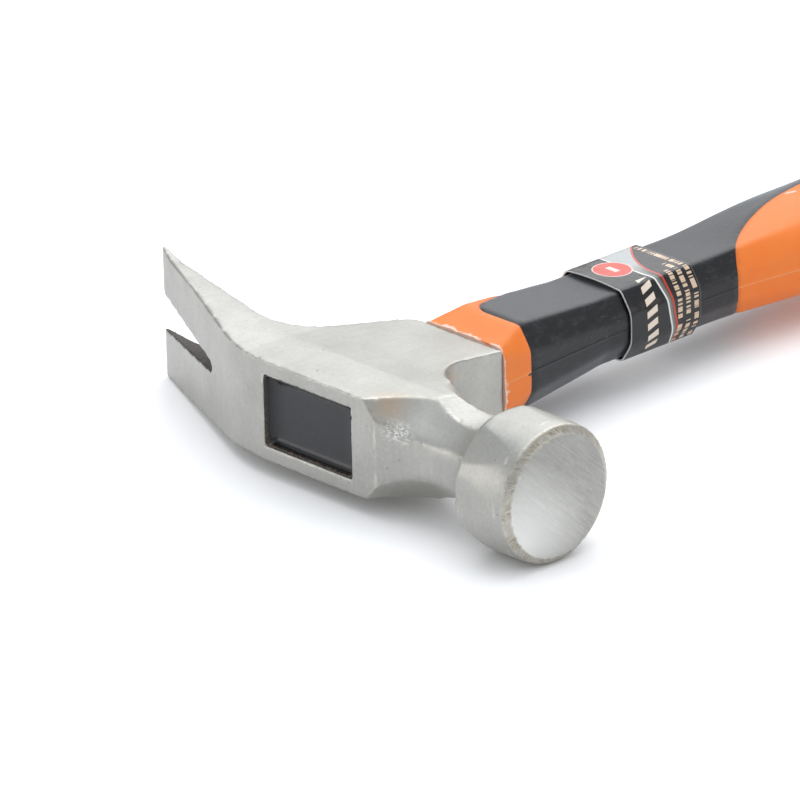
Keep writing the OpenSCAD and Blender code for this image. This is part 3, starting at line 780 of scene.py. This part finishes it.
def belly_outline():
    """The belly's orange field, and the part of its border that shows."""
    steps = 44
    shares = [(i / steps) ** 1.6 for i in range(steps + 1)]
    reach = [BELLY_X - BELLY_DEPTH * math.sin(math.radians(90 * u ** 0.6)) for u in shares]
    up = [(x, BELLY_START + u * BELLY_RISE) for x, u in zip(reach, shares)]
    down = [(x, BELLY_END - u * BELLY_FALL) for x, u in zip(reach, shares)][::-1]
    edge = [(OUTSIDE, BELLY_START)] + up + down + [(OUTSIDE, BELLY_END)]
    return edge, [(14, BELLY_START)] + up + down + [(16, BELLY_END)]


def add_field(bm, outline, half_height=30):
    """A tall block over an outline, used to part the two colours."""
    ring = [bm.verts.new((x, y, -half_height)) for x, y in outline]
    top = bmesh.ops.extrude_face_region(bm, geom=[bm.faces.new(ring)])["geom"]
    for v in (g for g in top if isinstance(g, bmesh.types.BMVert)):
        v.co.z = half_height


def border_points(line, spacing=0.2):
    """Points all along a border."""
    points = []
    for (x0, y0), (x1, y1) in zip(line, line[1:]):
        n = max(1, int(math.hypot(x1 - x0, y1 - y0) / spacing))
        points += [(x0 + (x1 - x0) * i / n, y0 + (y1 - y0) * i / n, 0) for i in range(n)]
    return points


def dress_handle(mesh, borders, name, material, nodes):
    """Sinks a fine groove along the colour border, and marks it, the head joint and the
    parting line, where the orange jacket has a painted highlight."""
    marks = {"groove": [], "joint": [], "seam_highlight": []}
    moved = []
    for c in [v.co.copy() for v in mesh.vertices]:
        near = borders.find((c.x, c.y, 0))[2]
        groove = max(0.0, 1 - near / GROOVE_HALF)
        squeezed = max(0.0, 1 - (c.y - SKIRT_Y) / (1.7 + 2.2 * noise.noise(c * 0.8)))
        marks["groove"].append(groove)
        marks["joint"].append(squeezed * (0.8 + 0.7 * noise.noise(c * 0.22)))
        marks["seam_highlight"].append(1.0 if abs(c.z) < SEAM_HALF else 0.0)
        # points near the middle line aren't on the skin
        outwards = Vector((c.x - NECK_MIDDLE, 0, c.z))
        if outwards.length > 4:
            c = c - outwards.normalized() * GROOVE_DEPTH * groove
        moved.append(c)
    set_points(mesh, moved)
    mark(mesh, marks)
    finish_piece(mesh, name, material, "hammer", nodes, 40)


def handle_pieces(orange, black):
    """Parts one skin into the orange jacket and the black rubber, which has the hang hole."""
    collar, collar_edge = collar_outline()
    belly, belly_edge = belly_outline()
    borders = point_tree(border_points(collar_edge) + border_points(belly_edge))
    blocks = bmesh.new()
    add_field(blocks, collar)
    add_field(blocks, belly)
    bmesh.ops.recalc_face_normals(blocks, faces=blocks.faces)
    fields = in_scene("orange_fields", mesh_from(blocks, "orange_fields"))
    peg = bmesh.new()
    bmesh.ops.create_cone(
        peg, cap_ends=True, segments=64, radius1=HANG_RADIUS, radius2=HANG_RADIUS, depth=80)
    bmesh.ops.translate(peg, verts=peg.verts, vec=HANG_PLACE)
    hang_peg = in_scene("hang_peg", mesh_from(peg, "hang_peg"))
    skins = []
    for cuts in ((("INTERSECT", fields),), (("DIFFERENCE", fields), ("DIFFERENCE", hang_peg))):
        skin = in_scene("skin", mesh_from(handle_skin(), "skin"))
        for operation, tool in cuts:
            cut = skin.modifiers.new(tool.name, "BOOLEAN")
            cut.operation = operation
            cut.object = tool
            cut.solver = "EXACT"
        skins.append(applied(skin))
    for tool in (fields, hang_peg):
        bpy.data.objects.remove(tool)
    dress_handle(skins[0], borders, "orange_jacket", orange, ["jacket"])
    dress_handle(skins[1], borders, "rubber_grip", black, ["grip"])


# Card sleeve

def card_point(k, y, out):
    """A point of the sleeve, so many steps round from the middle of the hidden side."""
    a = -math.pi / 2 - 2 * math.pi * k / CARD_TURNS
    r = handle_radius(a, y, -out, CARD_CREASE) + CARD_SLACK
    p = Vector((NECK_MIDDLE + r * math.cos(a), y, r * math.sin(a)))
    lift = max(0.0, 1 - ((p.x - LIFT_X) / LIFT_HALF) ** 2) if p.z > LIFT_FROM_Z else 0.0
    p.z += lift * LIFT * max(0.0, 1 - (y - BAND_FRONT) / LIFT_LENGTH)
    return p


def map_print(bm, uv, rings):
    """Maps the print round the sleeve by true length, from the middle of the upper side."""
    outer = [card_point(k, BAND_FRONT + 10, CARD_GAP + CARD_THICK) for k in range(CARD_TURNS + 1)]
    lengths = [0.0]
    for a, b in zip(outer, outer[1:]):
        lengths.append(lengths[-1] + (b - a).length)
    middle = lengths[CARD_TURNS // 2]
    steps = {v: k for ring in rings for k, v in enumerate(ring)}
    for f in bm.faces:
        ks = [steps[v] for v in f.verts]
        wraps = max(ks) - min(ks) > CARD_TURNS / 2
        for loop in f.loops:
            k = steps[loop.vert]
            if wraps and k == 0:
                k = CARD_TURNS
            along = (loop.vert.co.y - BAND_FRONT) / PRINT_UNIT
            loop[uv].uv = (0.5 + (lengths[k] - middle) / PRINT_UNIT, along)


def card_sleeve(material):
    """The printed sleeve: softly folded round the neck, standing off a little in front."""
    bm = bmesh.new()
    uv = bm.loops.layers.uv.new("print")
    rows = [BAND_FRONT + BAND_LENGTH * i / CARD_ROWS for i in range(CARD_ROWS + 1)]
    plan = [(y, CARD_GAP + CARD_THICK) for y in rows] + [(y, CARD_GAP) for y in rows[:0:-1]]
    ring = [bm.verts.new(card_point(k, BAND_FRONT, CARD_GAP)) for k in range(CARD_TURNS)]
    edges = ring_edges(bm, ring)
    rings = [ring]
    for y, out in plan:
        places = [card_point(k, y, out) for k in range(CARD_TURNS)]
        ring, edges = extruded(bm, ring, edges, places)
        rings.append(ring)
    bmesh.ops.bridge_loops(bm, edges=edges + ring_edges(bm, rings[0]))
    map_print(bm, uv, rings)
    bmesh.ops.recalc_face_normals(bm, faces=bm.faces)
    # the glued overlap on the hidden side
    lap = bmesh.ops.create_cube(bm, size=1.0)["verts"]
    bmesh.ops.scale(bm, verts=lap, vec=(CARD_LAP, BAND_LENGTH - LAP_SHORT, CARD_THICK))
    bmesh.ops.translate(bm, verts=lap, vec=(
        NECK_MIDDLE, BAND_FRONT + BAND_LENGTH / 2, -NECK_HALF_THICK - CARD_GAP - 1.5 * CARD_THICK))
    mesh = mesh_from(bm, "card_sleeve")
    set_points(mesh, [v.co.copy() for v in mesh.vertices])
    finish_piece(mesh, "card_sleeve", material, "band", ["card_band"], 50)


# Set

def white_floor():
    """Seamless matt white paper under and behind the hammer."""
    material, tree = new_material("matt_white_paper")
    ray = add(tree, "LightPath").outputs
    # away from what stands on it the paper is lit past white, as in the photograph
    # this glow is painted light, not from a lamp; held back where the hammer stands close, it also
    # paints darker shade round it
    open_sky = add(tree, "AmbientOcclusion", {"Distance": 0.05}, samples=8).outputs["AO"]
    bright = add(tree, "ValToRGB", {0: open_sky}, ((0.1, 0), (0.75, 0.33)))
    mirrored = worked(tree, ray["Is Glossy Ray"], ("MULTIPLY", 0.12))
    glow = worked(tree, bright, ("MULTIPLY", ray["Is Camera Ray"]), ("ADD", mirrored))
    surface(tree, Base_Color=srgb("#EEEEEF"), Roughness=0.9,
            Emission_Color=(1, 1, 1, 1), Emission_Strength=glow)
    bm = bmesh.new()
    bmesh.ops.create_grid(bm, x_segments=2, y_segments=2, size=FLOOR_HALF)
    floor = in_scene("paper_floor", mesh_from(bm, "paper_floor"))
    floor.data.materials.append(material)


def lamp(name, place, aim, size, power, colour):
    data = bpy.data.lights.new(name, "AREA")
    data.shape = "RECTANGLE"
    data.size, data.size_y = size
    data.energy = power
    data.color = colour
    obj = in_scene(name, data)
    obj.location = place
    obj.rotation_euler = (Vector(aim) - Vector(place)).to_track_quat("-Z", "Y").to_euler()


def studio():
    """A pale room, white to the camera, and its lamps."""
    world = bpy.data.worlds.new("pale_studio")
    bpy.context.scene.world = world
    world.use_nodes = True
    tree = world.node_tree
    tree.nodes.clear()
    way = add(tree, "TexCoord").outputs["Generated"]
    up = add(tree, "SeparateXYZ", {0: way}).outputs["Z"]
    sky = add(tree, "ValToRGB", {0: up},
              ((0.0, 0.50), (0.25, 0.62), (0.8, [0.86, 0.92, 0.99, 1.0])))
    seen = add(tree, "LightPath").outputs["Is Camera Ray"]
    colour = coat(tree, sky, (1, 1, 1, 1), seen)
    strength = worked(tree, seen, ("MULTIPLY", 0.25), ("ADD", 0.75))
    back = add(tree, "Background", {"Color": colour, "Strength": strength})
    add(tree, "OutputWorld", {"Surface": back})
    for row in LAMPS:
        lamp(*row)


def photo_camera():
    """The photograph's camera: a long lens, looking down at the head and the neck."""
    level = math.cos(CAMERA_PITCH)
    ahead = Vector((
        math.sin(CAMERA_YAW) * level, math.cos(CAMERA_YAW) * level, math.sin(CAMERA_PITCH)))
    right = ahead.cross(Vector((0, 0, 1))).normalized()
    up = right.cross(ahead)
    c, s = math.cos(CAMERA_ROLL), math.sin(CAMERA_ROLL)
    right, up = right * c + up * s, up * c - right * s
    data = bpy.data.cameras.new("photo_camera")
    data.sensor_width = 36
    data.lens = CAMERA_LENS
    data.clip_end = 20
    camera = in_scene("photo_camera", data)
    turned = Matrix((right, up, -ahead)).transposed().to_4x4()
    camera.matrix_world = Matrix.Translation(CAMERA_PLACE) @ turned
    bpy.context.scene.camera = camera


# Making it

bpy.context.scene.view_settings.view_transform = "Standard"
photo_camera()
studio()
white_floor()
forged_head(forged_steel())
poured_eye(poured_resin())
handle_pieces(orange_jacket(), black_rubber())
card_sleeve(printed_card())
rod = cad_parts["core_rod"]
rod.data.materials.clear()
rod.data.materials.append(fibre_rod())
